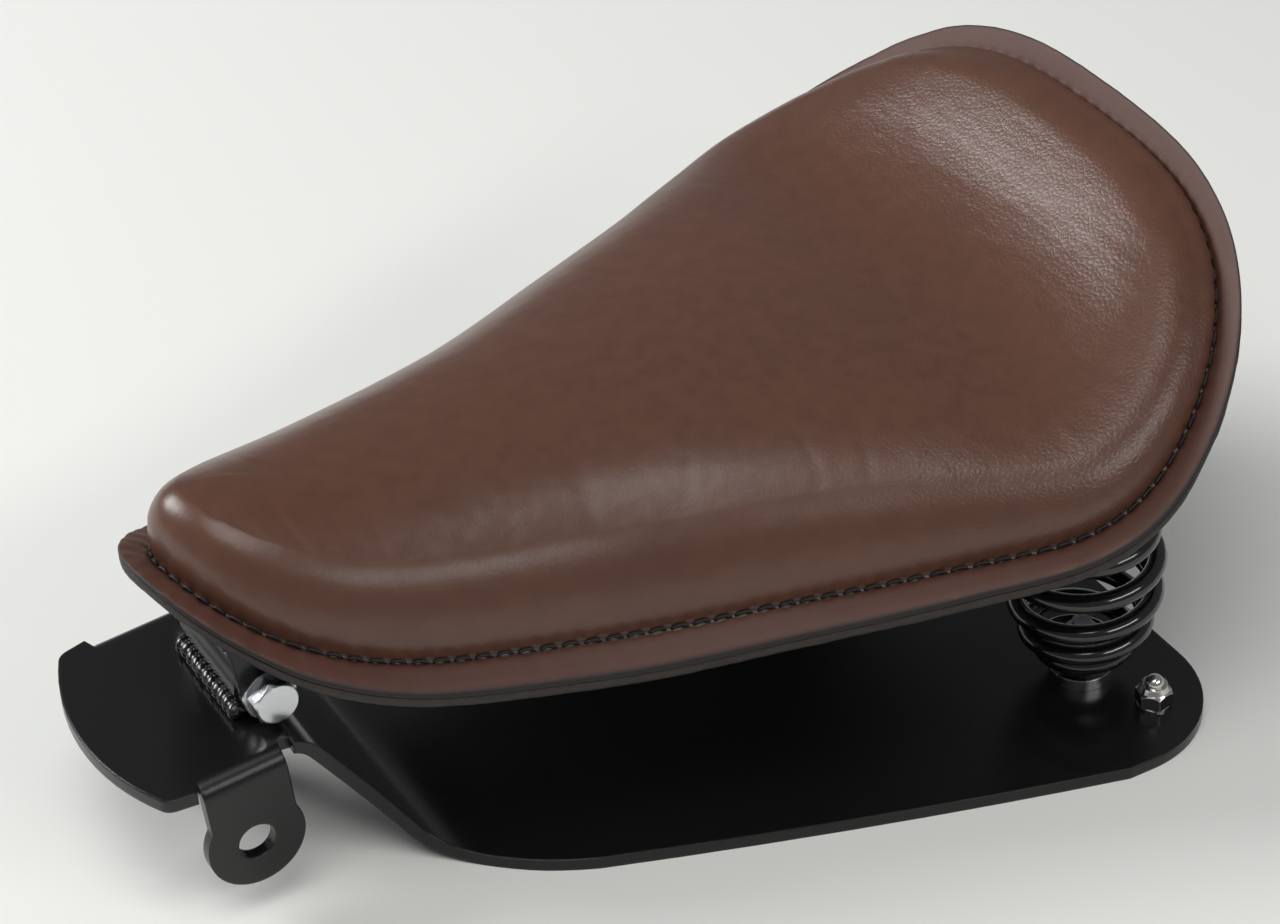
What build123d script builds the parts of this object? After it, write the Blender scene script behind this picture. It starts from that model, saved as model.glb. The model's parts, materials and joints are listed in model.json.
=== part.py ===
"""Solo motorcycle seat on a sprung mounting plate.

A padded leather seat hinges at its nose on a tube welded to a bent steel plate, and stands on
two barrel springs at the back. The plate's two front ears take the tank bolt.

Frame, in millimetres: origin midway between the two ears on the axis of the tank-bolt holes,
+X forward towards the nose, +Y to the rider's left, +Z up, square to the flat rear plate.
"""
import os
from math import cos, pi, radians, sin, tan

from build123d import *

os.makedirs("parts", exist_ok=True)

# ---------------------------------------------------------------- driving dimensions
# mounting plate, one bent sheet
SHEET = 4.0                   # sheet thickness
TONGUE_PITCH = 5.0            # the tongue drops forwards by this angle, degrees
TONGUE_TOP = 26.3             # top of the tongue above the tank-bolt axis, square to the tongue
TONGUE_FRONT = 32.0           # middle of the tongue's bowed front edge
TONGUE_CORNER_X = 24.5        # front corners of the tongue
TONGUE_HALF = 38.5            # half-width at the front corners
TONGUE_CORNER_R = 5.0
EAR_FRONT = 12.3              # ear strip, front and rear edges
EAR_REAR = -13.5
EAR_FACE = 40.0               # outer face of each ear from the middle plane
EAR_DISC_R = 15.0
EAR_BEND_R = 6.0              # outside radius of the fold
TANK_HOLE_R = 5.75
CREST_X = -19.0               # where the tongue's top meets the ramp's
RAMP_ANGLE = 55.0             # ramp below the horizontal, degrees
CREST_R = 8.0
FOOT_R = 20.0
FLAT_TOP = -22.0              # top of the flat rear plate
PLATE_REAR = -287.0
REAR_HALF = 125.0
WAIST_HALF = 38.0
REAR_CORNER_R = 36.0

# nose pivot
TUBE_R = 8.5
TUBE_BORE_R = 5.5
TUBE_HALF = 18.7
PIVOT_TX = -18.0              # pivot axis, in the tongue's own directions
BUSH_FLANGE = 1.0
BUSH_FLANGE_R = 7.6
BUSH_BORE_R = 4.05
PIVOT_BOLT_R = 4.0
PIVOT_HEAD_AF = 13.0
PIVOT_HEAD_H = 5.3
CHEEK = 3.0                   # cheek and top plate of the nose bracket
CHEEK_GAP = 0.3
CHEEK_END_R = 7.8
BRACKET_FRONT = -3.0
BRACKET_REAR = -52.0
WASHER = 1.6

# seat layers, measured up from the seat's reference surface
PAN_LOW, PAN_HIGH = -5.2, -3.0
BASE_HIGH = 0.5
LIP_HIGH = 2.5
FOAM_HEIGHT = 27.0
COVER = 1.8                   # leather over the foam
OUTLINE_POINTS = 36           # stations used to move the outline inwards
PAN_INSET = 5.0               # layers' edges, inside the seat's outline
PAD_INSET = 11.0
STITCH_INSET = 9.0
STITCH_COUNT = 160
STITCH_LENGTH = 4.0
STITCH_R = 0.6
STITCH_LIFT = LIP_HIGH + 1.3   # thread's centre above the reference surface

# rear springs
SPRING_X, SPRING_Y = -256.0, 80.0
WIRE_R = 3.0
SPRING_LOW = FLAT_TOP + 4.0
SPRING_HEIGHT = 74.0
COIL_END_R = 6.6              # mean radius where the wire ends
COIL_SWELL = 14.9             # how much larger the middle turn is
TURNS = 8.0
END_PITCH = 4.6               # rise of the first and last turns
SEAT_FLANGE_R = 9.8           # round seats under and over the spring
SPRING_BOLT_R = 3.0
SPRING_BOLT_HEAD_R = 6.0
SPRING_NUT_AF = 10.0
CLAMP_WASHER_R = 6.2
CLAMP_RISE = 6.7              # clamping washer, clear of the spring's rising end turn

# dome-nut fasteners at the rear corners
CAP_X, CAP_Y = -266.0, 104.0
CAP_BOLT_R = 3.0
CAP_BOLT_HEAD_R = 5.6
CAP_AF = 10.0
CAP_HEX_H = 5.0
CAP_COLLAR_R = 4.7
CAP_COLLAR_H = 1.8
CAP_WASHER_R = 5.2
CAP_WASHER = 0.8

HEX_FACE_SHARE = 0.95         # chamfered end face of a nut or bolt head, of its width across flats

# seat outline in plan: half-widths at stations from nose to tail
NOSE_X, TAIL_X = 11.5, -317.0
SIDE_STATIONS = [(-14, 40.5), (-48, 56), (-92, 68), (-145, 85.5), (-200, 106), (-252, 120), (-291, 101)]

# reference surface: height of the centre line, and how fast the sides fall away from it
CENTRE_LINE = [(30, 80), (11.5, 72), (-20, 61.5), (-50, 57), (-100, 59), (-150, 62.5), (-200, 63.5),
               (-250, 67), (-290, 90), (-317, 124), (-335, 150)]
SIDE_FALL = [(30, 0.0060), (-50, 0.0052), (-100, 0.0048), (-150, 0.0031), (-200, 0.0016), (-250, 0.0005),
             (-290, 0.0), (-335, 0.0)]


# ---------------------------------------------------------------- helpers
def interpolate(table, x):
    """Value at x from (position, value) pairs listed from front to back, smoothly joined."""
    points = sorted(table)
    x = min(max(x, points[0][0]), points[-1][0])
    slopes = []
    for i in range(len(points)):
        a, b = points[max(i - 1, 0)], points[min(i + 1, len(points) - 1)]
        slopes.append((b[1] - a[1]) / (b[0] - a[0]))
    for i in range(len(points) - 1):
        (x0, y0), (x1, y1) = points[i], points[i + 1]
        if x <= x1:
            h = x1 - x0
            t = (x - x0) / h
            return ((1 + 2 * t) * (1 - t) ** 2 * y0 + t * (1 - t) ** 2 * h * slopes[i]
                    + t * t * (3 - 2 * t) * y1 + t * t * (t - 1) * h * slopes[i + 1])
    return points[-1][1]


def surface_height(x, y):
    """Height of the seat's reference surface: a saddle at the nose, a rising bucket at the tail."""
    return interpolate(CENTRE_LINE, x) - interpolate(SIDE_FALL, x) * y * y


def from_tongue(tx, tz):
    """A point given along and square to the tongue, as x and z in the part's frame."""
    a = radians(TONGUE_PITCH)
    return tx * cos(a) + tz * sin(a), -tx * sin(a) + tz * cos(a)


def cylinder(x, y, z, axis, radius, length):
    """Cylinder from the given end centre, along the axis direction."""
    return extrude(Plane(origin=(x, y, z), z_dir=axis) * Circle(radius), length)


def ring(x, y, z, axis, outer, inner, length):
    return cylinder(x, y, z, axis, outer, length) - cylinder(x, y, z, axis, inner, length)


def hexagon(x, y, z, axis, across_flats, length, turn=0.0):
    """Hexagon bar with the corners of its far end chamfered."""
    corner_r = across_flats / 2 / cos(pi / 6)
    plane = Plane(origin=(x, y, z), z_dir=axis)
    bar = extrude(plane * Rot(0, 0, turn) * RegularPolygon(corner_r, 6), length)
    face_r = HEX_FACE_SHARE * across_flats / 2
    height = length + corner_r / 2
    cone = plane * Pos(0, 0, height / 2) * Cone(face_r + length, face_r - corner_r / 2, height)
    return bar & cone


def countersunk_bolt(x, y, z, radius, head_r, length):
    """Bolt pointing up, its flat head flush with the plate's underside at z."""
    head_h = head_r - radius
    head = Pos(x, y, z + head_h / 2) * Cone(head_r, radius, head_h)
    return head + cylinder(x, y, z, (0, 0, 1), radius, length)


def both_sides(make, y):
    """The same piece on the left and on the right."""
    return [make(y), make(-y)]


def save(name, shape):
    """Write one node, from a shape or from a list of separate solids."""
    if isinstance(shape, (list, tuple)):
        shape = Compound(children=[Solid(s.solids()[0].wrapped) for s in shape])
    shape.label = name
    export_step(shape, f"parts/{name}.step")


# ---------------------------------------------------------------- mounting plate
def plate_band():
    """The sheet seen from the side, as wide as the widest part of the plate."""
    slope = tan(radians(RAMP_ANGLE))
    front_x, front_z = from_tongue(TONGUE_FRONT + 5, TONGUE_TOP)
    start_x, start_z = from_tongue(0, TONGUE_TOP)
    crest_z = start_z - (CREST_X - start_x) * tan(radians(TONGUE_PITCH))
    foot_x = CREST_X - (crest_z - FLAT_TOP) / slope
    with BuildPart() as band:
        with BuildSketch(Plane.XZ):
            with BuildLine():
                top = FilletPolyline((front_x, front_z), (CREST_X, crest_z), (foot_x, FLAT_TOP),
                                     (PLATE_REAR - 8, FLAT_TOP), radius=(CREST_R + SHEET, FOOT_R))
                offset(top, amount=SHEET, side=Side.LEFT)
            make_face()
        extrude(amount=140, both=True)
    return band.part


def plate_outline():
    """Half of the plate in plan, mirrored: bowed tongue, narrow waist, wide rear with round corners."""
    neck_x = EAR_REAR - 1.5
    with BuildSketch() as plan:
        with BuildLine():
            front = ThreePointArc((TONGUE_CORNER_X, -TONGUE_HALF), (TONGUE_FRONT + 2, 0),
                                  (TONGUE_CORNER_X, TONGUE_HALF))
            side = Polyline(front @ 1, (EAR_FRONT + 3.5, TONGUE_HALF + 1.5),
                            (EAR_FRONT + 1.5, WAIST_HALF - 4), (neck_x, WAIST_HALF - 4),
                            (neck_x, WAIST_HALF - 1))
            flare = Spline(side @ 1, (-40, WAIST_HALF + 3), (-62, 57), (-90, 76),
                           tangents=((-1, 0.05), (-1, 0.45)))
            flank = ThreePointArc(flare @ 1, (-165, 102), (-246, REAR_HALF + 1))
            Polyline(flank @ 1, (PLATE_REAR - 5, REAR_HALF + 1), (PLATE_REAR - 5, -REAR_HALF - 1),
                     (-246, -REAR_HALF - 1))
            mirror(side, about=Plane.XZ)
            mirror(flare, about=Plane.XZ)
            mirror(flank, about=Plane.XZ)
        make_face()
        fillet([v for v in plan.vertices() if v.X > TONGUE_CORNER_X - 1], TONGUE_CORNER_R)
    return plan.sketch


def rear_corner_cut():
    """Plan shape of the plate's rear: straight rear edge with large round corners."""
    with BuildSketch() as plan:
        with Locations((PLATE_REAR + 200, 0)):
            Rectangle(400, 2 * REAR_HALF)
        rear = [v for v in plan.vertices() if v.X < PLATE_REAR + 1]
        fillet(rear, REAR_CORNER_R)
    return plan.sketch


def ear(side):
    """One ear in the tongue's directions: fold, strip and disc with the tank-bolt hole."""
    inner = EAR_FACE - SHEET
    strip_top = TONGUE_TOP - EAR_BEND_R
    length = EAR_FRONT - EAR_REAR
    middle = (EAR_FRONT + EAR_REAR) / 2
    strip = Pos(middle, side * (EAR_FACE - SHEET / 2), strip_top / 2) * Box(length, SHEET, strip_top)
    disc = cylinder(0, side * inner, 0, (0, side, 0), EAR_DISC_R, SHEET)
    hole = cylinder(0, side * (inner - 1), 0, (0, side, 0), TANK_HOLE_R, SHEET + 2)
    fold_y = EAR_FACE - EAR_BEND_R
    fold = cylinder(EAR_REAR, side * fold_y, strip_top, (1, 0, 0), EAR_BEND_R, length)
    fold -= cylinder(EAR_REAR, side * fold_y, strip_top, (1, 0, 0), EAR_BEND_R - SHEET, length)
    quarter = Pos(middle, side * (fold_y + EAR_BEND_R / 2), strip_top + EAR_BEND_R / 2) \
        * Box(length, EAR_BEND_R, EAR_BEND_R)
    return strip + disc - hole + (fold & quarter)


def mounting_plate():
    plan = extrude(plate_outline(), 120, both=True) & extrude(rear_corner_cut(), 120, both=True)
    plate = plate_band() & plan
    ears = Rot(0, TONGUE_PITCH, 0) * (ear(1) + ear(-1))
    plate += ears
    for y in (SPRING_Y, -SPRING_Y):
        plate -= countersunk_bolt(SPRING_X, y, FLAT_TOP - SHEET, SPRING_BOLT_R + 0.1, SPRING_BOLT_HEAD_R + 0.1, 20)
    for y in (CAP_Y, -CAP_Y):
        plate -= countersunk_bolt(CAP_X, y, FLAT_TOP - SHEET, CAP_BOLT_R + 0.1, CAP_BOLT_HEAD_R + 0.1, 20)
    return plate


# ---------------------------------------------------------------- nose pivot
PIVOT_X, PIVOT_Z = from_tongue(PIVOT_TX, TONGUE_TOP + TUBE_R)


def pivot_tube():
    return ring(PIVOT_X, -TUBE_HALF, PIVOT_Z, (0, 1, 0), TUBE_R, TUBE_BORE_R, 2 * TUBE_HALF)


def pivot_welds(plate, tube):
    """Weld beads in the corners between tube and plate, in front of the tube and behind it."""
    beads = []
    for tx, tz, r in ((PIVOT_TX + 7.2, TONGUE_TOP + 1.6, 3.4), (PIVOT_TX - 7.0, TONGUE_TOP + 0.6, 3.2)):
        x, z = from_tongue(tx, tz)
        bead = cylinder(x, -TUBE_HALF + 1.2, z, (0, 1, 0), r, 2 * TUBE_HALF - 2.4)
        core = cylinder(PIVOT_X, -TUBE_HALF, PIVOT_Z, (0, 1, 0), TUBE_R, 2 * TUBE_HALF)
        beads.append(bead - plate - core)
    return beads


def pivot_bush(side):
    y = side * TUBE_HALF
    sleeve = ring(PIVOT_X, y, PIVOT_Z, (0, -side, 0), TUBE_BORE_R, BUSH_BORE_R, 14)
    flange = ring(PIVOT_X, y, PIVOT_Z, (0, side, 0), BUSH_FLANGE_R, BUSH_BORE_R, BUSH_FLANGE)
    return sleeve + flange


CHEEK_IN = TUBE_HALF + BUSH_FLANGE + CHEEK_GAP
CHEEK_OUT = CHEEK_IN + CHEEK


def pivot_bolt():
    head_y = CHEEK_OUT + WASHER
    head = hexagon(PIVOT_X, head_y, PIVOT_Z, (0, 1, 0), PIVOT_HEAD_AF, PIVOT_HEAD_H, 15)
    reach = 2 * CHEEK_OUT + 2 * WASHER + 10.5
    shank = cylinder(PIVOT_X, head_y, PIVOT_Z, (0, -1, 0), PIVOT_BOLT_R, reach)
    return head + shank


def pivot_washer(side):
    return ring(PIVOT_X, side * CHEEK_OUT, PIVOT_Z, (0, side, 0), 8.0, PIVOT_BOLT_R, WASHER)


def pivot_nut():
    y = -CHEEK_OUT - WASHER
    nut = hexagon(PIVOT_X, y, PIVOT_Z, (0, -1, 0), PIVOT_HEAD_AF, 6.0, 5)
    collar = cylinder(PIVOT_X, y - 6.0, PIVOT_Z, (0, -1, 0), 5.6, 2.4)
    return nut + collar - cylinder(PIVOT_X, y, PIVOT_Z, (0, -1, 0), PIVOT_BOLT_R, 12)


# ---------------------------------------------------------------- seat layers
def reference_face():
    """The seat's reference surface as one smooth face, larger than the seat."""
    xs = [30 - 15 * i for i in range(25)]
    ys = [-132 + 12 * j for j in range(23)]
    grid = [[Vector(x, y, surface_height(x, y)) for y in ys] for x in xs]
    return Face.make_surface_from_array_of_points(grid, smoothing=(1, 1, 1), min_deg=3, max_deg=5)


REFERENCE = reference_face()


def layer(low, high):
    """Solid between two copies of the reference surface."""
    return Solid.extrude(REFERENCE.moved(Pos(0, 0, low)), Vector(0, 0, high - low))


def seat_outline(inset=0.0):
    """The seat in plan, or the same outline moved inwards all round."""
    left = [(x, w) for x, w in SIDE_STATIONS]
    right = [(x, -w) for x, w in reversed(SIDE_STATIONS)]
    edge = Spline((NOSE_X, 0), *left, (TAIL_X, 0), *right, periodic=True)
    if inset:
        points = []
        for i in range(OUTLINE_POINTS):
            here, along = edge.position_at(i / OUTLINE_POINTS), edge.tangent_at(i / OUTLINE_POINTS)
            points.append((here.X - along.Y * inset, here.Y + along.X * inset))
        edge = Spline(*points, periodic=True)
    return make_face(edge)


def column(inset=0.0):
    return Pos(0, 0, -20) * extrude(seat_outline(inset), 260)


# ---------------------------------------------------------------- springs
def coil_height(turn):
    """Height of the wire's centre above its end, the turns close at the ends and open in the middle."""
    rise = SPRING_HEIGHT - 2 * WIRE_R
    open_pitch = 2 * rise / TURNS - END_PITCH
    opened = turn / 2 - TURNS / (4 * pi) * sin(2 * pi * turn / TURNS)
    return END_PITCH * turn + (open_pitch - END_PITCH) * opened


def spring(y):
    steps = int(TURNS * 12)
    path_points = []
    for i in range(steps + 1):
        turn = TURNS * i / steps
        r = COIL_END_R + COIL_SWELL * sin(pi * turn / TURNS)
        a = 2 * pi * turn
        z = SPRING_LOW + WIRE_R + coil_height(turn)
        path_points.append((SPRING_X + r * cos(a), y + r * sin(a), z))
    path = Spline(*path_points)
    section = Plane(origin=path @ 0, z_dir=path % 0) * Circle(WIRE_R)
    return sweep(section, path=path, is_frenet=True)


SPRING_TOP = SPRING_LOW + SPRING_HEIGHT
LOWER_CLAMP = SPRING_LOW + CLAMP_RISE
UPPER_CLAMP = SPRING_TOP - CLAMP_RISE


def lower_seat(y):
    return ring(SPRING_X, y, FLAT_TOP, (0, 0, 1), SEAT_FLANGE_R, SPRING_BOLT_R, SPRING_LOW - FLAT_TOP)


def lower_bolt(y):
    return countersunk_bolt(SPRING_X, y, FLAT_TOP - SHEET, SPRING_BOLT_R, SPRING_BOLT_HEAD_R, 24)


def clamp_washer(y, z):
    return ring(SPRING_X, y, z, (0, 0, 1), CLAMP_WASHER_R, SPRING_BOLT_R, WASHER)


def lower_nut(y):
    base = LOWER_CLAMP + WASHER
    nut = hexagon(SPRING_X, y, base, (0, 0, 1), SPRING_NUT_AF, 5)
    return nut - cylinder(SPRING_X, y, LOWER_CLAMP, (0, 0, 1), SPRING_BOLT_R, 20)


def upper_seat(y, pan_under):
    """Round seat that the spring bears on, its top trimmed to the pan."""
    return ring(SPRING_X, y, SPRING_TOP, (0, 0, 1), SEAT_FLANGE_R, SPRING_BOLT_R, 12) & pan_under


def upper_bolt(y):
    """Hexagon head down inside the spring, its shank up through the pan into the weld nut."""
    head_top = UPPER_CLAMP - WASHER
    head = hexagon(SPRING_X, y, head_top, (0, 0, -1), SPRING_NUT_AF, 4.2)
    reach = surface_height(SPRING_X, y) + PAN_HIGH + SPRING_NUT_H - head_top
    return head + cylinder(SPRING_X, y, head_top, (0, 0, 1), SPRING_BOLT_R, reach)


# ---------------------------------------------------------------- rear corner fasteners
def cap_nut(y):
    """Hexagon lock nut with a round collar; the bolt's domed end stands out of it."""
    base = FLAT_TOP + CAP_WASHER
    nut = hexagon(CAP_X, y, base, (0, 0, 1), CAP_AF, CAP_HEX_H, 12)
    collar = Pos(CAP_X, y, base + CAP_HEX_H) * Cone(CAP_COLLAR_R, CAP_COLLAR_R - 0.7, CAP_COLLAR_H,
                                                    align=(Align.CENTER, Align.CENTER, Align.MIN))
    return nut + collar - cylinder(CAP_X, y, base, (0, 0, 1), CAP_BOLT_R, CAP_HEX_H + CAP_COLLAR_H)


def cap_washer(y):
    return ring(CAP_X, y, FLAT_TOP, (0, 0, 1), CAP_WASHER_R, CAP_BOLT_R, CAP_WASHER)


def cap_bolt(y):
    bolt_top = FLAT_TOP + CAP_WASHER + CAP_HEX_H + CAP_COLLAR_H
    low = FLAT_TOP - SHEET
    bolt = countersunk_bolt(CAP_X, y, low, CAP_BOLT_R, CAP_BOLT_HEAD_R, bolt_top - low)
    end = Pos(CAP_X, y, bolt_top) * Sphere(CAP_BOLT_R)
    above = Pos(CAP_X, y, bolt_top + 10) * Box(20, 20, 20)
    return bolt + (end & above)


# ---------------------------------------------------------------- nose bracket
BRACKET_BOLTS = [(-24.0, 0.0), (-42.0, 0.0)]
NOSE_BOLT_R = 3.0
NOSE_NUT_R, NOSE_NUT_H = 7.5, 5.0
SPRING_NUT_R, SPRING_NUT_H = 7.5, 6.0


def nose_bracket():
    """Saddle plate that fits the pan's underside, with two cheeks down to the pivot bolt."""
    length = BRACKET_FRONT - BRACKET_REAR
    middle = (BRACKET_FRONT + BRACKET_REAR) / 2
    block = Pos(middle, 0, 50) * Box(length, 2 * CHEEK_OUT, 80)
    bracket = layer(PAN_LOW - CHEEK, PAN_LOW) & block
    with BuildSketch(Plane.XZ) as shape:
        with BuildLine():
            Polyline((PIVOT_X + CHEEK_END_R, PIVOT_Z), (BRACKET_FRONT, 66), (BRACKET_FRONT, 90),
                     (BRACKET_REAR, 90), (BRACKET_REAR, 46), (PIVOT_X - CHEEK_END_R, PIVOT_Z),
                     close=True)
        make_face()
        with Locations((PIVOT_X, PIVOT_Z)):
            Circle(CHEEK_END_R)
            Circle(PIVOT_BOLT_R + 0.1, mode=Mode.SUBTRACT)
    plate = extrude(shape.sketch, CHEEK)
    below_pan = layer(-80, PAN_LOW)
    for y in (-CHEEK_IN, CHEEK_OUT):
        bracket += Pos(0, y, 0) * plate & below_pan
    for x, y in BRACKET_BOLTS:
        bracket -= cylinder(x, y, 20, (0, 0, 1), NOSE_BOLT_R + 0.2, 60)
    return bracket


def nose_bolt(x, y):
    """Bolt up through bracket and pan into its weld nut; the head is under the bracket."""
    low = surface_height(x, y) + PAN_LOW - CHEEK - WASHER
    head = hexagon(x, y, low, (0, 0, -1), 10, 4.0)
    return head + cylinder(x, y, low, (0, 0, 1), NOSE_BOLT_R, CHEEK + WASHER + 6.5)


def nose_washer(x, y):
    bottom = surface_height(x, y) + PAN_LOW - CHEEK
    body = ring(x, y, bottom - WASHER, (0, 0, 1), 6.0, NOSE_BOLT_R, WASHER + 3)
    return body & layer(-80, PAN_LOW - CHEEK)


def boss(x, y, radius, bore, height):
    """Weld nut on the pan: a round boss whose foot follows the pan's top."""
    top = surface_height(x, y) + PAN_HIGH + height
    body = ring(x, y, top - height - 6, (0, 0, 1), radius, bore, height + 6)
    return body & layer(PAN_HIGH, 60)


def pocket(x, y, radius, height):
    """Room under the pad for a weld nut and the end of its bolt."""
    top = surface_height(x, y) + PAN_HIGH + height + 6
    return cylinder(x, y, 20, (0, 0, 1), radius + 0.5, top - 20)


def stitches():
    """Short thread lengths laid end to end in the groove between pad and lip."""
    wire = seat_outline(STITCH_INSET).faces()[0].outer_wire()
    threads = []
    for i in range(STITCH_COUNT):
        here = wire.position_at(i / STITCH_COUNT)
        ahead = wire.position_at((i + 0.1) / STITCH_COUNT)
        start = Vector(here.X, here.Y, surface_height(here.X, here.Y) + STITCH_LIFT)
        end = Vector(ahead.X, ahead.Y, surface_height(ahead.X, ahead.Y) + STITCH_LIFT)
        run = (end - start).normalized()
        threads.append(extrude(Plane(origin=start, z_dir=run) * Circle(STITCH_R), STITCH_LENGTH))
    return threads


def main():
    plate = mounting_plate()
    save("mounting_plate", plate)
    tube = pivot_tube()
    save("pivot_tube", tube)
    save("pivot_welds", pivot_welds(plate, tube))
    save("pivot_bushes", [pivot_bush(1), pivot_bush(-1)])
    save("pivot_bolt", pivot_bolt())
    save("pivot_washers", [pivot_washer(1), pivot_washer(-1)])
    save("pivot_nut", pivot_nut())
    save("nose_bracket", nose_bracket())
    save("nose_bracket_bolts", [nose_bolt(x, y) for x, y in BRACKET_BOLTS])
    save("nose_bracket_washers", [nose_washer(x, y) for x, y in BRACKET_BOLTS])

    nose_bosses = [boss(x, y, NOSE_NUT_R, NOSE_BOLT_R, NOSE_NUT_H) for x, y in BRACKET_BOLTS]
    spring_spots = [(SPRING_X, SPRING_Y), (SPRING_X, -SPRING_Y)]
    spring_bosses = [boss(x, y, SPRING_NUT_R, SPRING_BOLT_R, SPRING_NUT_H) for x, y in spring_spots]
    save("nose_weld_nuts", nose_bosses)
    save("spring_weld_nuts", spring_bosses)

    holes = [cylinder(x, y, 20, (0, 0, 1), NOSE_BOLT_R + 0.2, 120) for x, y in BRACKET_BOLTS]
    holes += [cylinder(x, y, 20, (0, 0, 1), SPRING_BOLT_R + 0.2, 120) for x, y in spring_spots]
    pockets = [pocket(x, y, NOSE_NUT_R, NOSE_NUT_H) for x, y in BRACKET_BOLTS]
    pockets += [pocket(x, y, SPRING_NUT_R, SPRING_NUT_H) for x, y in spring_spots]

    pan = layer(PAN_LOW, PAN_HIGH) & column(PAN_INSET)
    base = layer(PAN_HIGH, BASE_HIGH) & column()
    foam = layer(BASE_HIGH, LIP_HIGH + FOAM_HEIGHT) & column(PAD_INSET + COVER)
    shell = layer(BASE_HIGH + 0.4, LIP_HIGH + FOAM_HEIGHT + COVER) & column(PAD_INSET)
    lip = layer(BASE_HIGH, LIP_HIGH) & column()
    cover = shell + lip - foam
    for hole in holes:
        pan -= hole
    for room in pockets:
        base -= room
        foam -= room
    save("seat_pan", pan)
    save("base_leather", base)
    save("foam_pad", foam)
    save("leather_cover", cover)
    save("edge_stitching", stitches())

    pan_under = layer(-60, PAN_LOW)
    save("spring_left", spring(SPRING_Y))
    save("spring_right", spring(-SPRING_Y))
    save("spring_lower_seats", both_sides(lower_seat, SPRING_Y))
    save("spring_lower_bolts", both_sides(lower_bolt, SPRING_Y))
    save("spring_lower_washers", both_sides(lambda y: clamp_washer(y, LOWER_CLAMP), SPRING_Y))
    save("spring_lower_nuts", both_sides(lower_nut, SPRING_Y))
    save("spring_upper_seats", both_sides(lambda y: upper_seat(y, pan_under), SPRING_Y))
    save("spring_upper_washers", both_sides(lambda y: clamp_washer(y, UPPER_CLAMP - WASHER), SPRING_Y))
    save("spring_upper_bolts", both_sides(upper_bolt, SPRING_Y))

    save("rear_cap_nuts", both_sides(cap_nut, CAP_Y))
    save("rear_washers", both_sides(cap_washer, CAP_Y))
    save("rear_bolts", both_sides(cap_bolt, CAP_Y))


main()
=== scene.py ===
"""Looks for the sprung solo motorcycle seat: leather cushion, stitching, coil springs, finishes, light."""

import json
import math
import random

import bmesh
import bpy
import numpy as np
from mathutils import Matrix, Vector, noise
from mathutils.bvhtree import BVHTree


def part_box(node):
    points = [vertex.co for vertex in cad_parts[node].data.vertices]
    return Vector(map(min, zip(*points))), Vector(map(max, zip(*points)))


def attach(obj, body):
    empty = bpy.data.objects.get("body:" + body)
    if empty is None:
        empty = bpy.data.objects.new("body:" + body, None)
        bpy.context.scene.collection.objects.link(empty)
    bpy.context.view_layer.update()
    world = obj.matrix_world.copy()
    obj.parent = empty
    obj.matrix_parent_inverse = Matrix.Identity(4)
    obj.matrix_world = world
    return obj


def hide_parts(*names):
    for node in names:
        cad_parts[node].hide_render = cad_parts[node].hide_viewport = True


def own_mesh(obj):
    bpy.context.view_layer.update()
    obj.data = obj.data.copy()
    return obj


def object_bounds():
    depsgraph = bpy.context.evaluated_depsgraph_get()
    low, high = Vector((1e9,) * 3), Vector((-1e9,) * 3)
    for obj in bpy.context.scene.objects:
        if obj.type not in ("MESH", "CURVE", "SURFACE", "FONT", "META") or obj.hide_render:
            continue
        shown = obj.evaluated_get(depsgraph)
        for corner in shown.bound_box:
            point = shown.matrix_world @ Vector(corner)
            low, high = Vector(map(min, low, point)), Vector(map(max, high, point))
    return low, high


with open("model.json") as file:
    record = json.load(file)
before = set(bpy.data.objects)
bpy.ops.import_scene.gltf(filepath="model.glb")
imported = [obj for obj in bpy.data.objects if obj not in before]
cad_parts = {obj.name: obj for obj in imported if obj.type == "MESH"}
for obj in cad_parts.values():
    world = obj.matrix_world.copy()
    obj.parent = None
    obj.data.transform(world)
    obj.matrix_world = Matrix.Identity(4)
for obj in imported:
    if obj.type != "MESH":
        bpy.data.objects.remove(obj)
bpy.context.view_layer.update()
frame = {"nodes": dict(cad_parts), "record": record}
nodes = frame["nodes"]
random.seed(7)

MM = 0.001

# ---------------------------------------------------------------- sizes of the soft parts
# heights are above the seat's reference surface, and insets are inside its outline
PAD_TOP = 31.3 * MM            # top of the CAD cover
LIP_TOP = 2.5 * MM             # top of the CAD cover's lip
PAD_INSET = 11.0 * MM          # side of the CAD pad
LIP_LEVEL = 2.6 * MM           # what is higher belongs to the pad, and the rest to the lip
STITCH_LINE = 9.3              # inset of the stitches, in mm as in the profiles
STITCH_D = STITCH_LINE * MM
STITCH_PITCH = 6.2 * MM
CROWN_RUN = 26 * MM            # width over which the pad's roll eases into its flat middle
TAIL_SHARE = 0.58              # pad height at the tail, of its height elsewhere
TAIL_FADE = 150 * MM           # length over which the pad loses that height
LEAN = 0.9                     # how far the pad turns square to the climbing tail
LEAN_START = 135 * MM          # where the turn begins, from the tail
LEAN_RUN = 80 * MM             # length over which it comes in
LEAN_RISE = 7 * MM             # height above the lip over which it comes in
SPINE_REAR = 105 * MM          # ends of the middle line that rings close on, from the tail
SPINE_FRONT = 44 * MM          # and from the nose

# ---------------------------------------------------------------- how finely the soft parts are made
RING_POINTS = 640              # points round the seat in every ring
UNDER_SHARES = (1.0, 0.6, 0.3)  # rings under a body, as shares of the way to the middle line
INNER_RINGS = 90               # rings from a profile's end to the middle line
CHUNK = 2000                   # points measured against the edge at a time


# ---------------------------------------------------------------- shape of the CAD seat, read from its nodes
def over_box(point, box):
    """Whether a point lies over a box in plan, or within 2 mm of it."""
    low, high = box
    along = low.x - 2 * MM < point.x < high.x + 2 * MM
    across = low.y - 2 * MM < point.y < high.y + 2 * MM
    return along and across


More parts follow.
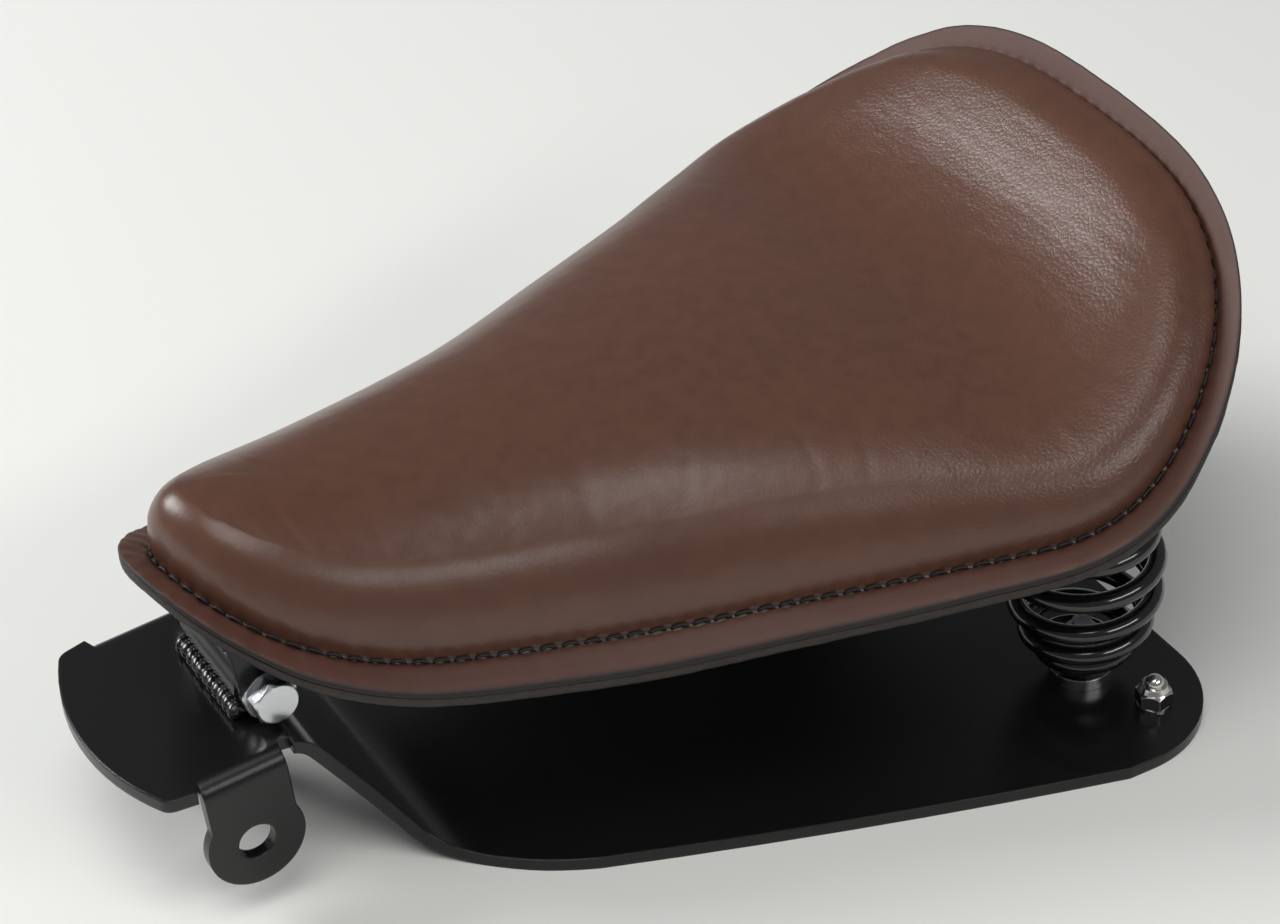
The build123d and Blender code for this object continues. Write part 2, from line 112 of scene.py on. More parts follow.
def seat_edge_points():
    """The base leather's edge in plan, in order round the seat."""
    mesh = nodes["base_leather"].data
    centre = (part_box("base_leather")[0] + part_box("base_leather")[1]) / 2
    pockets = [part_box("nose_weld_nuts"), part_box("spring_weld_nuts")]
    found = {}
    walls = [poly for poly in mesh.polygons if abs(poly.normal.z) < 0.2]
    for wall in walls:
        for i in wall.vertices:
            v = mesh.vertices[i].co
            if not any(over_box(v, pocket) for pocket in pockets):
                angle = math.atan2(v.y - centre.y, v.x - centre.x)
                found[round(angle, 3)] = (v.x, v.y)
    return np.array([found[angle] for angle in sorted(found)])


def even_loop(points, count):
    """Closed loop resampled at even spacing and lightly smoothed."""
    closed = np.vstack([points, points[:1]])
    run = np.concatenate([[0], np.cumsum(np.linalg.norm(np.diff(closed, axis=0), axis=1))])
    at = np.linspace(0, run[-1], count, endpoint=False)
    loop = np.stack([np.interp(at, run, closed[:, k]) for k in (0, 1)], axis=1)
    for _ in range(6):
        loop = (np.roll(loop, 1, 0) + 2 * loop + np.roll(loop, -1, 0)) / 4
    return loop, run[-1]


EDGE, EDGE_LENGTH = even_loop(seat_edge_points(), RING_POINTS)
TANGENT = np.roll(EDGE, -1, 0) - np.roll(EDGE, 1, 0)
TANGENT /= np.linalg.norm(TANGENT, axis=1)[:, None]
INWARD = np.stack([-TANGENT[:, 1], TANGENT[:, 0]], axis=1)
SEAT_NOSE, SEAT_TAIL = EDGE[:, 0].max(), EDGE[:, 0].min()


def tree_of(node):
    mesh = nodes[node].data
    return BVHTree.FromPolygons([v.co for v in mesh.vertices], [p.vertices for p in mesh.polygons])


def nearest_edge(points):
    """For plan points, how far away the seat's edge is, and which of its points is nearest."""
    distance = np.empty(len(points))
    index = np.empty(len(points), dtype=int)
    for start in range(0, len(points), CHUNK):
        part = slice(start, start + CHUNK)
        far = np.sqrt(((points[part][:, None] - EDGE[None]) ** 2).sum(2))
        distance[part] = far.min(1)
        index[part] = far.argmin(1)
    return distance, index


def inset_at(x, y):
    """Distance of one plan point inside the seat's edge."""
    return nearest_edge(np.array([[x, y]]))[0][0]


COVER_TREE = tree_of("leather_cover")


def cover_height(x, y):
    hit = COVER_TREE.ray_cast(Vector((x, y, 1)), Vector((0, 0, -1)))[0]
    return hit.z if hit else None


def half_width(x):
    near = EDGE[np.abs(EDGE[:, 0] - x) < 3 * MM]
    return np.abs(near[:, 1]).max()


def side_fall(x, middle):
    """Side fall of the reference surface at a station, per distance squared, or None off the pad."""
    across = [y for y in np.linspace(18 * MM, 90 * MM, 25)
              if inset_at(x, y) > PAD_INSET + 2 * MM and y < half_width(x)]
    if not across:
        return None
    return (cover_height(x, across[-1]) - PAD_TOP - middle) / across[-1] ** 2


def reference_profile():
    """Centre-line height and side fall of the reference surface at stations along the seat."""
    stations = np.linspace(SEAT_TAIL + 13 * MM, SEAT_NOSE - 13 * MM, 70)
    middles = [cover_height(x, 0) - PAD_TOP for x in stations]
    falls = [side_fall(x, middle) for x, middle in zip(stations, middles)]
    known = [i for i, fall in enumerate(falls) if fall is not None]
    falls = np.interp(stations, stations[known], [falls[i] for i in known])
    lip_x = [SEAT_TAIL + 3 * MM, SEAT_NOSE - 3 * MM]
    lip_z = [cover_height(x, 0) - LIP_TOP for x in lip_x]
    stations = np.concatenate([lip_x[:1], stations, lip_x[1:]])
    middles = np.concatenate([lip_z[:1], middles, lip_z[1:]])
    falls = np.concatenate([falls[:1], falls, falls[-1:]])
    return stations, middles, falls


STATIONS, MIDDLES, FALLS = reference_profile()


def reference(x, y):
    """Height of the seat's reference surface, carried on straight past its ends."""
    middle = np.interp(x, STATIONS, MIDDLES)
    tail = (MIDDLES[1] - MIDDLES[0]) / (STATIONS[1] - STATIONS[0])
    nose = (MIDDLES[-1] - MIDDLES[-2]) / (STATIONS[-1] - STATIONS[-2])
    middle = middle + np.minimum(x - STATIONS[0], 0) * tail + np.maximum(x - STATIONS[-1], 0) * nose
    return middle + np.interp(x, STATIONS, FALLS) * y * y


def slope_along(x, y):
    step = 2 * MM
    return (reference(x + step, y) - reference(x - step, y)) / (2 * step)


# where the edge crosses the climbing tail, insets are measured along the slope, so they shrink in plan
EDGE_SLOPE = slope_along(EDGE[:, 0], EDGE[:, 1])
INSET_SCALE = 1 - INWARD[:, 0] ** 2 * (1 - 1 / np.sqrt(1 + EDGE_SLOPE ** 2))


def worked_inset(points):
    """Distance inside the seat's edge, measured on the leather rather than in plan."""
    distance, index = nearest_edge(points)
    return distance / INSET_SCALE[index]


# ---------------------------------------------------------------- mesh helpers
def new_object(name, verts, faces, finish, smooth=True):
    mesh = bpy.data.meshes.new(name)
    mesh.from_pydata([tuple(v) for v in verts], [], faces)
    mesh.update()
    obj = bpy.data.objects.new(name, mesh)
    bpy.context.scene.collection.objects.link(obj)
    mesh.materials.append(finish)
    if smooth:
        mesh.polygons.foreach_set("use_smooth", [True] * len(mesh.polygons))
    return obj


def smooth_step(t):
    t = np.clip(t, 0, 1)
    return t * t * (3 - 2 * t)


def ring_faces(rings, count):
    faces = []
    for k in range(rings - 1):
        for i in range(count):
            j = (i + 1) % count
            faces.append((k * count + i, k * count + j, (k + 1) * count + j, (k + 1) * count + i))
    return faces


def spine_points():
    """For every edge point, the point on the seat's middle line that its rings close on."""
    x = np.clip(EDGE[:, 0], SEAT_TAIL + SPINE_REAR, SEAT_NOSE - SPINE_FRONT)
    return np.stack([x, np.zeros(len(x))], axis=1)


def plan_ring(depth, share):
    """Plan points of a ring: depth inside the edge, then share of the way on to the middle line."""
    ring = EDGE + INWARD * (depth * INSET_SCALE)[:, None]
    return ring * (1 - share) + spine_points() * share


def thinner_tail(plan, height):
    """The pad loses height towards the tail; the lip keeps its own."""
    rear = smooth_step((SEAT_TAIL + TAIL_FADE - plan[:, 0]) / TAIL_FADE)
    return height - (1 - TAIL_SHARE) * rear * np.maximum(height - LIP_LEVEL, 0)


def lean(plan, height):
    """Points at a height over the reference surface: straight up, but square to it where the tail climbs."""
    slope = slope_along(plan[:, 0], plan[:, 1])
    rear = smooth_step((SEAT_TAIL + LEAN_START - plan[:, 0]) / LEAN_RUN)
    share = LEAN * rear * smooth_step((height - LIP_LEVEL) / LEAN_RISE)
    size = np.sqrt(1 + slope ** 2)
    x = plan[:, 0] - height * share * slope / size
    z = reference(plan[:, 0], plan[:, 1]) + height * (1 + share * (1 / size - 1))
    return np.column_stack([x, plan[:, 1], z])


def closed_skin(name, profile, top_height, bottom_height, finish, shape):
    """A closed body over the seat's plan, from (inset, height) pairs that run from under its edge, over it.

    Past the profile the rings close on the middle line at the height that top_height gives."""
    rings = []
    first_inset = profile[0][0]
    last_inset = profile[-1][0]
    for share in UNDER_SHARES:
        rings.append((plan_ring(first_inset, share), np.full(RING_POINTS, bottom_height)))
    for inset, height in profile:
        rings.append((plan_ring(inset, 0.0), np.full(RING_POINTS, height)))
    for k in range(1, INNER_RINGS + 1):
        plan = plan_ring(last_inset, (k / INNER_RINGS) ** 0.92)
        rings.append((plan, top_height(worked_inset(plan))))
    verts = []
    for k, (plan, height) in enumerate(rings):
        height = thinner_tail(plan, height)
        block = lean(plan, height)
        verts.append(shape(block, height, k, len(rings)))
    verts = np.vstack(verts)
    obj = new_object(name, verts, ring_faces(len(rings), RING_POINTS), finish)
    close_middle(obj, len(rings))
    return obj


def close_middle(obj, ring_count):
    """Joins the two collapsed middle rings' opposite points, so that the body is closed."""
    bm = bmesh.new()
    bm.from_mesh(obj.data)
    bm.verts.ensure_lookup_table()
    starts = (0, (ring_count - 1) * RING_POINTS)
    middles = [[bm.verts[start + i] for i in range(RING_POINTS)] for start in starts]
    for middle in middles:
        bmesh.ops.remove_doubles(bm, verts=middle, dist=0.9 * MM)
    bmesh.ops.remove_doubles(bm, verts=bm.verts, dist=0.02 * MM)
    bmesh.ops.holes_fill(bm, edges=[e for e in bm.edges if e.is_boundary], sides=0)
    bmesh.ops.recalc_face_normals(bm, faces=bm.faces)
    bm.to_mesh(obj.data)
    bm.free()
    obj.data.polygons.foreach_set("use_smooth", [True] * len(obj.data.polygons))


# ---------------------------------------------------------------- materials
def material(name, colour, rough, metal=0.0, coat=0.0, coat_rough=0.1, spec=0.5):
    mat = bpy.data.materials.new(name)
    mat.use_nodes = True
    shader = mat.node_tree.nodes["Principled BSDF"]
    shader.inputs["Base Color"].default_value = (*colour, 1)
    shader.inputs["Roughness"].default_value = rough
    shader.inputs["Metallic"].default_value = metal
    shader.inputs["Coat Weight"].default_value = coat
    shader.inputs["Coat Roughness"].default_value = coat_rough
    shader.inputs["Specular IOR Level"].default_value = spec
    return mat, mat.node_tree, shader


def add(tree, kind, **values):
    """A shader node, each value set as an input where the node has one of that name."""
    node = tree.nodes.new(kind)
    for key, value in values.items():
        if key in node.inputs:
            node.inputs[key].default_value = value
        else:
            setattr(node, key, value)
    return node


def texture(tree, kind, coords, scale, detail=4.0, **extra):
    """A texture node on the given coordinates."""
    node = add(tree, kind, Scale=scale, Detail=detail, **extra)
    tree.links.new(coords, node.inputs["Vector"])
    return node


def ramp(tree, source, stops):
    node = tree.nodes.new("ShaderNodeValToRGB")
    tree.links.new(source, node.inputs["Fac"])
    elements = node.color_ramp.elements
    while len(elements) < len(stops):
        elements.new(0.5)
    for element, (place, value) in zip(elements, stops):
        element.position = place
        element.color = (*value, 1) if isinstance(value, tuple) else (value, value, value, 1)
    return node


def mix(tree, factor, a, b, blend="MIX"):
    node = tree.nodes.new("ShaderNodeMix")
    node.data_type = "RGBA"
    node.blend_type = blend
    for socket, value in ((node.inputs[0], factor), (node.inputs[6], a), (node.inputs[7], b)):
        if isinstance(value, bpy.types.NodeSocket):
            tree.links.new(value, socket)
        elif isinstance(value, tuple):
            socket.default_value = (*value, 1)
        else:
            socket.default_value = value
    return node.outputs[2]


def bump(tree, height, strength, distance, normal=None):
    node = add(tree, "ShaderNodeBump", Strength=strength, Distance=distance)
    tree.links.new(height, node.inputs["Height"])
    if normal:
        tree.links.new(normal, node.inputs["Normal"])
    return node.outputs["Normal"]


def maths(tree, kind, a, b):
    node = tree.nodes.new("ShaderNodeMath")
    node.operation = kind
    for socket, value in zip(node.inputs, (a, b)):
        if isinstance(value, bpy.types.NodeSocket):
            tree.links.new(value, socket)
        else:
            socket.default_value = value
    return node.outputs[0]


def cover_material():
    """Satin brown hide: soft tone drift, pebble grain, fine creases, painted shade in the stitch groove and
    under the cover, and a black-dyed cut edge.
    """
    mat, tree, shader = material("cover_leather", (0.1, 0.04, 0.027), 0.42)
    coords = tree.nodes.new("ShaderNodeTexCoord").outputs["Object"]
    drift = texture(tree, "ShaderNodeTexNoise", coords, 9, 3)
    fine = texture(tree, "ShaderNodeTexNoise", coords, 160, 5)
    tone = ramp(tree, drift.outputs[0], [(0.25, (0.092, 0.0425, 0.0275)), (0.52, (0.102, 0.0435, 0.0268)),
                                         (0.80, (0.112, 0.0435, 0.0255))])
    speckle = ramp(tree, fine.outputs[0], [(0.35, 0.92), (0.65, 1.04)])
    colour = mix(tree, 1.0, tone.outputs[0], speckle.outputs[0], "MULTIPLY")
    groove = add(tree, "ShaderNodeAttribute", attribute_name="painted_shade_and_edge_dye")
    lip = add(tree, "ShaderNodeAttribute", attribute_name="lip")
    colour = mix(tree, maths(tree, "MULTIPLY", lip.outputs["Fac"], 0.8), colour, (0.080, 0.029, 0.0195))
    # painted shade: the groove and the cover's underside are made nearly black in the colour; the same mask
    # darkens the cut edge as its black dye
    colour = mix(tree, groove.outputs["Fac"], colour, (0.010, 0.006, 0.005))
    tree.links.new(colour, shader.inputs["Base Color"])
    pebble = texture(tree, "ShaderNodeTexVoronoi", coords, 560, feature="DISTANCE_TO_EDGE")
    pebbles = ramp(tree, pebble.outputs["Distance"], [(0.0, 0.0), (0.22, 0.75), (0.6, 1.0)])
    stretch = tree.nodes.new("ShaderNodeMapping")
    tree.links.new(coords, stretch.inputs["Vector"])
    stretch.inputs["Scale"].default_value = (1.0, 2.2, 1.0)
    crease = texture(tree, "ShaderNodeTexNoise", stretch.outputs[0], 70, 8, Roughness=0.66, Distortion=0.6)
    where = texture(tree, "ShaderNodeTexNoise", coords, 6, 2)
    strong = ramp(tree, where.outputs[0], [(0.38, 0.35), (0.66, 1.0)])
    grain = add(tree, "ShaderNodeAttribute", attribute_name="grain")
    grained = maths(tree, "MULTIPLY", pebbles.outputs[0], grain.outputs["Fac"])
    creased = maths(tree, "MULTIPLY", crease.outputs[0], strong.outputs[0])
    normal = bump(tree, creased, 0.16, 0.0009)
    normal = bump(tree, grained, 0.38, 0.00026, normal)
    normal = bump(tree, fine.outputs[0], 0.10, 0.0003, normal)
    tree.links.new(normal, shader.inputs["Normal"])
    gloss = ramp(tree, drift.outputs[0], [(0.3, 0.28), (0.7, 0.35)])
    rough = mix(tree, lip.outputs["Fac"], gloss.outputs[0], (0.58, 0.58, 0.58))
    tree.links.new(rough, shader.inputs["Roughness"])
    return mat


def raw_edge_material():
    """Dyed black edge of thick leather, fibrous and a little rough."""
    mat, tree, shader = material("base_leather", (0.018, 0.013, 0.012), 0.55)
    coords = tree.nodes.new("ShaderNodeTexCoord").outputs["Object"]
    fibre = texture(tree, "ShaderNodeTexNoise", coords, 420, 8, Roughness=0.7)
    tone = ramp(tree, fibre.outputs[0], [(0.3, (0.010, 0.008, 0.007)), (0.7, (0.030, 0.020, 0.017))])
    tree.links.new(tone.outputs[0], shader.inputs["Base Color"])
    normal = bump(tree, fibre.outputs[0], 0.7, 0.0006)
    tree.links.new(normal, shader.inputs["Normal"])
    return mat


def coat_material(name, rough, ripple=0.0, coat=0.0, edge=0.0012):
    """Black powder coat or enamel: orange-peel skin, faint dust, rounded edges that catch the light."""
    mat, tree, shader = material(name, (0.004, 0.004, 0.0045), rough, coat=coat, coat_rough=0.08, spec=0.42)
    coords = tree.nodes.new("ShaderNodeTexCoord").outputs["Object"]
    rounded = tree.nodes.new("ShaderNodeBevel")
    rounded.samples = 4
    rounded.inputs["Radius"].default_value = edge
    peel = texture(tree, "ShaderNodeTexNoise", coords, 900, 2)
    normal = bump(tree, peel.outputs[0], 0.10 + ripple, 0.00012, rounded.outputs[0])
    if ripple:
        wave = texture(tree, "ShaderNodeTexNoise", coords, 240, 2)
        normal = bump(tree, wave.outputs[0], 0.6, 0.0012, normal)
    tree.links.new(normal, shader.inputs["Normal"])
    cloud = texture(tree, "ShaderNodeTexNoise", coords, 14, 3)
    gloss = ramp(tree, cloud.outputs[0], [(0.35, rough - 0.03), (0.7, rough + 0.04)])
    tree.links.new(gloss.outputs[0], shader.inputs["Roughness"])
    dust = texture(tree, "ShaderNodeTexNoise", coords, 1500, 2)
    specks = ramp(tree, dust.outputs[0], [(0.74, 0.0), (0.80, 1.0)])
    speck_share = maths(tree, "MULTIPLY", specks.outputs[0], 0.25)
    colour = mix(tree, speck_share, (0.006, 0.006, 0.0065), (0.10, 0.10, 0.105))
    tree.links.new(colour, shader.inputs["Base Color"])
    return mat


def metal_material(name, colour, rough, brush=0.15):
    """Bare metal: rounded edges, fine brush marks, a little uneven wear."""
    mat, tree, shader = material(name, colour, rough, metal=1.0)
    coords = tree.nodes.new("ShaderNodeTexCoord").outputs["Object"]
    rounded = tree.nodes.new("ShaderNodeBevel")
    rounded.samples = 4
    rounded.inputs["Radius"].default_value = 0.0004
    marks = texture(tree, "ShaderNodeTexNoise", coords, 700, 6, Roughness=0.7)
    normal = bump(tree, marks.outputs[0], brush, 0.0002, rounded.outputs[0])
    tree.links.new(normal, shader.inputs["Normal"])
    wear = texture(tree, "ShaderNodeTexNoise", coords, 90, 5)
    gloss = ramp(tree, wear.outputs[0], [(0.3, rough * 0.7), (0.7, rough * 1.5)])
    tree.links.new(gloss.outputs[0], shader.inputs["Roughness"])
    tone = ramp(tree, wear.outputs[0], [(0.3, tuple(c * 0.85 for c in colour)), (0.7, colour)])
    tree.links.new(tone.outputs[0], shader.inputs["Base Color"])
    return mat


def foam_material():
    mat, tree, shader = material("foam", (0.55, 0.52, 0.42), 0.9)
    coords = tree.nodes.new("ShaderNodeTexCoord").outputs["Object"]
    cells = texture(tree, "ShaderNodeTexVoronoi", coords, 900)
    tree.links.new(bump(tree, cells.outputs["Distance"], 0.6, 0.0006), shader.inputs["Normal"])
    return mat


def thread_material():
    mat, tree, shader = material("thread", (0.009, 0.008, 0.008), 0.5)
    coords = tree.nodes.new("ShaderNodeTexCoord").outputs["Object"]
    twist = texture(tree, "ShaderNodeTexWave", coords, 900, 1, Distortion=2.0)
    tree.links.new(bump(tree, twist.outputs[0], 0.5, 0.0002), shader.inputs["Normal"])
    return mat


FINISH = {
    "black_coat": coat_material("black_coat", 0.25),
    "weld_coat": coat_material("weld_coat", 0.22, ripple=0.2, coat=0.6, edge=0.0003),
    "spring_coat": coat_material("spring_coat", 0.16, coat=0.7, edge=0.0002),
    "pan_paint": coat_material("pan_paint", 0.45),
    "zinc": metal_material("zinc", (0.72, 0.73, 0.75), 0.22),
    "stainless": metal_material("stainless", (0.74, 0.72, 0.69), 0.12, brush=0.05),
    "bronze": metal_material("bronze", (0.5, 0.33, 0.14), 0.35),
    "cover_leather": cover_material(),
    "base_leather": raw_edge_material(),
    "foam": foam_material(),
    "thread": thread_material(),
}
SLOT_OF = {row["node"]: row["material_slot"] for row in frame["record"]["subparts"]}
for name, obj in nodes.items():
    obj.data.materials.clear()
    obj.data.materials.append(FINISH[SLOT_OF[name]])


# ---------------------------------------------------------------- leather cover
# profiles are (inset, height) pairs in mm
COVER_UNDER = [(12.0, 0.9), (6.0, 0.8), (1.2, 0.8), (0.35, 0.9)]
COVER_LIP = [(0.0, 1.3), (0.0, 1.8), (0.3, 2.4), (0.9, 2.75), (1.8, 2.85), (3.0, 2.8), (4.4, 2.7), (5.8, 2.6),
             (7.0, 2.5)]
COVER_GROOVE = [(7.9, 2.25), (8.6, 1.95), (9.2, 1.8), (9.7, 2.1)]
COVER_WALL = [(9.9, 2.8), (9.8, 3.8), (9.5, 5.2), (9.25, 6.8), (9.15, 8.6), (9.2, 10.4), (9.45, 12.2)]
COVER_ROLL = [(9.85, 14.0), (10.4, 15.8), (11.1, 17.6), (12.0, 19.4), (13.0, 21.1), (14.2, 22.8),
              (15.6, 24.3), (17.2, 25.7), (19.0, 27.0)]
COVER_PROFILE = COVER_UNDER + COVER_LIP + COVER_GROOVE + COVER_WALL + COVER_ROLL
COVER_CROWN = 4.6 * MM
INNER_INSET = 20.0             # stands for every ring past the profile, out of the thread's reach

# how far the cover's points move, in mm
PUCKER = 0.28                  # sideways at each stitch
PUCKER_RISE = 0.2
LIP_WAVE = 0.25
WRINKLE = 0.12                 # of the lip, and what the nose adds
NOSE_WRINKLE = 0.4
DENT = 0.55                    # soft unevenness of the pad
PULL = 0.12                    # folds low on the pad's side, and what the nose adds
NOSE_PULL = 0.45
CREASE = 0.10
SKIN = 0.05                    # fine unevenness of the pad's top


def crowned(inset, profile, crown):
    """Top of a pad: the end of its profile eases into a flat, slightly crowned middle."""
    end_inset, end_height = profile[-1]
    t = np.clip((inset - end_inset * MM) / CROWN_RUN, 0, 1)
    return end_height * MM + crown * (1 - (1 - t) ** 2.4)


def cover_top(inset):
    return crowned(inset, COVER_PROFILE, COVER_CROWN)


def edge_run(i):
    return EDGE_LENGTH * i / RING_POINTS


def nose_share(x):
    """1 over the first 15 mm behind the nose, fading out by 70 mm behind it."""
    return float(np.clip((x - (SEAT_NOSE - 70 * MM)) / (55 * MM), 0, 1))


def shape_cover(block, height, k, ring_count):
    """Stitch puckers, lip waves, soft dents and shallow creases, as moves of the mesh's points."""
    out = block.copy()
    first = len(UNDER_SHARES)
    inner = ring_count - INNER_RINGS
    inset = COVER_PROFILE[k - first][0] if first <= k < inner else INNER_INSET
    by_thread = math.exp(-((inset - STITCH_LINE) / 1.3) ** 2)
    for i, (x, y, z) in enumerate(block):
        h = float(height[i])
        p = Vector((x, y, z))
        lift = 0.0
        sideways = 0.0
        if k > first and h > 1.5 * MM:
            stitch = math.cos(2 * math.pi * edge_run(i) / STITCH_PITCH)
            near = math.exp(-((h - LIP_LEVEL) / (3.2 * MM)) ** 2)
            sideways = PUCKER * MM * stitch * near * by_thread
            if h < 3 * MM:
                lift += PUCKER_RISE * MM * stitch * by_thread + LIP_WAVE * MM * noise.noise(p * 60)
                wrinkle = noise.noise(Vector((edge_run(i) * 260, inset * 0.12, 0)))
                lift += (WRINKLE + NOSE_WRINKLE * nose_share(x)) * MM * wrinkle
            else:
                lift += DENT * MM * noise.noise(p * 14) * min(1.0, h / (20 * MM))
                if h < 14 * MM:
                    pull = noise.noise(Vector((edge_run(i) * 150, h * 30, 5.0)))
                    sideways += NOSE_PULL * MM * pull * nose_share(x) + PULL * MM * pull
        if k >= inner:
            line = 1 - abs(noise.noise(Vector((x * 55, y * 26, 1.0)))) * 5
            lift -= CREASE * MM * max(0.0, line)
            lift += SKIN * MM * noise.noise(p * 260)
        inward = INWARD[i]
        out[i, 0] += inward[0] * sideways
        out[i, 1] += inward[1] * sideways
        out[i, 2] += lift
    return out


def shape_plain(block, height, k, ring_count):
    """Leaves a body's points where its rings put them."""
    return block


def to_metres(profile):
    return [(inset * MM, height * MM) for inset, height in profile]


cover = closed_skin("cover", to_metres(COVER_PROFILE), cover_top, 0.9 * MM, FINISH["cover_leather"],
                    shape_cover)


def paint_cover(obj):
    """Paints shade into the stitch groove and under the cover, darkens the cut edge as its black dye, and
    sets how strong the pebble grain is.
    """
    mesh = obj.data
    co = np.array([v.co for v in mesh.vertices])
    inset = worked_inset(co[:, :2])
    height = co[:, 2] - reference(co[:, 0], co[:, 1])
    # painted shade: the stitch groove and the cover's underside are darkened in the colour where shade would
    # fall; the cut edge's darkening is its black edge dye
    groove = np.exp(-((inset - STITCH_D) / (0.75 * MM)) ** 2) * (height < 3.4 * MM)
    cut = np.clip((1.1 * MM - inset) / (0.5 * MM), 0, 1) * (height < 2.8 * MM)
    under = height < 1.2 * MM
    painted_shade_and_edge_dye = np.clip(0.85 * groove + cut + under, 0, 1)
    length = SEAT_NOSE - SEAT_TAIL
    back = smooth_step((SEAT_NOSE - 0.5 * length - co[:, 0]) / (0.25 * length))
    grain = (0.16 + 0.84 * back) * np.clip(height / (8 * MM), 0.25, 1)
    lip = np.clip((8.6 * MM - inset) / (1.0 * MM), 0, 1) * (height < 5 * MM)
    for name, values in (("painted_shade_and_edge_dye", painted_shade_and_edge_dye), ("grain", grain), ("lip", lip)):
        attribute = mesh.attributes.new(name, "FLOAT", "POINT")
        attribute.data.foreach_set("value", values.astype(np.float32))


paint_cover(cover)
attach(cover, "seat")
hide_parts("leather_cover")

# ---------------------------------------------------------------- foam and base leather
FOAM_PROFILE = [(20.0, 1.4), (13.5, 1.4), (12.6, 2.2), (12.0, 5.0), (11.6, 9.0), (12.2, 13.0), (13.4, 17.0),
                (15.6, 21.0), (19.0, 24.6)]
FOAM_CROWN = 4.2 * MM


def foam_top(inset):
    return crowned(inset, FOAM_PROFILE, FOAM_CROWN)


foam = closed_skin("foam_core", to_metres(FOAM_PROFILE), foam_top, 1.4 * MM, FINISH["foam"], shape_plain)
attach(foam, "seat")
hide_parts("foam_pad")

BASE_PROFILE = [(9.0, -3.0), (2.0, -3.0), (1.0, -2.85), (0.45, -2.4), (0.15, -1.7), (0.0, -0.8), (0.05, 0.0),
                (0.3, 0.45), (0.8, 0.55), (6.0, 0.55), (12.0, 0.55)]
BASE_TOP = 0.55 * MM
CUT_RINGS = range(4, 11)       # rings on the cut edge


def base_top(inset):
    return np.full(len(inset), BASE_TOP)


def shape_base(block, height, k, ring_count):
    """A cut edge that isn't quite even."""
    out = block.copy()
    if k in CUT_RINGS:
        for i, place in enumerate(block):
            p = Vector(place)
            push = 0.3 * MM * noise.noise(p * 90) + 0.14 * MM * noise.noise(p * 420)
            out[i, 0] -= INWARD[i][0] * push
            out[i, 1] -= INWARD[i][1] * push
    return out


base = closed_skin("base", to_metres(BASE_PROFILE), base_top, -3.0 * MM, FINISH["base_leather"], shape_base)
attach(base, "seat")
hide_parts("base_leather")


# ---------------------------------------------------------------- stitching
STITCH_R = 0.5 * MM
STITCH_LIFT = 2.75 * MM        # thread's centre above the reference surface
STITCH_DIP = 0.95 * MM         # how far its ends go into the leather
START_PLAY = 0.15              # in mm
SWAY = 0.2                     # in mm


def end_caps(count, sides):
    """Flat faces that close the two ends of a rod made of rings."""
    first = tuple(range(sides - 1, -1, -1))
    last = tuple((count - 1) * sides + k for k in range(sides))
    return [first, last]


def tube(path, radius, sides):
    """Round rod along a path of points, narrowed at its two ends."""
    verts = []
    count = len(path)
    previous = Vector((0, 0, 1))
    for i, point in enumerate(path):
        ahead = path[min(i + 1, count - 1)] - path[max(i - 1, 0)]
        ahead.normalize()
        side = ahead.cross(previous).normalized()
        up = side.cross(ahead).normalized()
        r = radius * (0.55 if i in (0, count - 1) else 1.0)
        for s in range(sides):
            a = 2 * math.pi * s / sides
            verts.append(point + side * (r * math.cos(a)) + up * (r * math.sin(a)))
    return verts, ring_faces(count, sides) + end_caps(count, sides)


def stitching():
    """Separate stitches laid in the groove, each dipping into the leather at its two ends."""
    verts, faces = [], []
    count = int(EDGE_LENGTH / STITCH_PITCH)
    run = np.arange(RING_POINTS + 1) * EDGE_LENGTH / RING_POINTS
    line = EDGE + INWARD * (STITCH_D * INSET_SCALE)[:, None]
    line = np.vstack([line, line[:1]])
    shorter = np.linalg.norm(np.diff(line, axis=0), axis=1).sum() / EDGE_LENGTH
    for n in range(count):
        path = []
        start = EDGE_LENGTH * n / count + random.uniform(-START_PLAY, START_PLAY) * MM
        length = STITCH_PITCH * 0.8
        sway = random.uniform(-SWAY, SWAY) * MM
        for step in range(7):
            u = step / 6
            at = (start + length * u) % EDGE_LENGTH
            x, y = np.interp(at, run, line[:, 0]), np.interp(at, run, line[:, 1])
            dip = STITCH_DIP * (abs(2 * u - 1) ** 3)
            z = float(reference(x, y)) + STITCH_LIFT - dip
            path.append(Vector((x, y + sway * u * shorter, z)))
        rod_verts, rod_faces = tube(path, STITCH_R, 8)
        offset = len(verts)
        verts += rod_verts
        faces += [tuple(offset + i for i in f) for f in rod_faces]
    return new_object("stitches", verts, faces, FINISH["thread"])


stitches = stitching()
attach(stitches, "seat")
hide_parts("edge_stitching")

# ---------------------------------------------------------------- springs
WIRE_R = 3.0 * MM
TURNS = 8.0
STEPS_PER_TURN = 40
END_PITCH = 4.6 * MM
END_R = 6.6 * MM               # winding radius at the ends, and what the middle adds
SWELL = 14.9 * MM


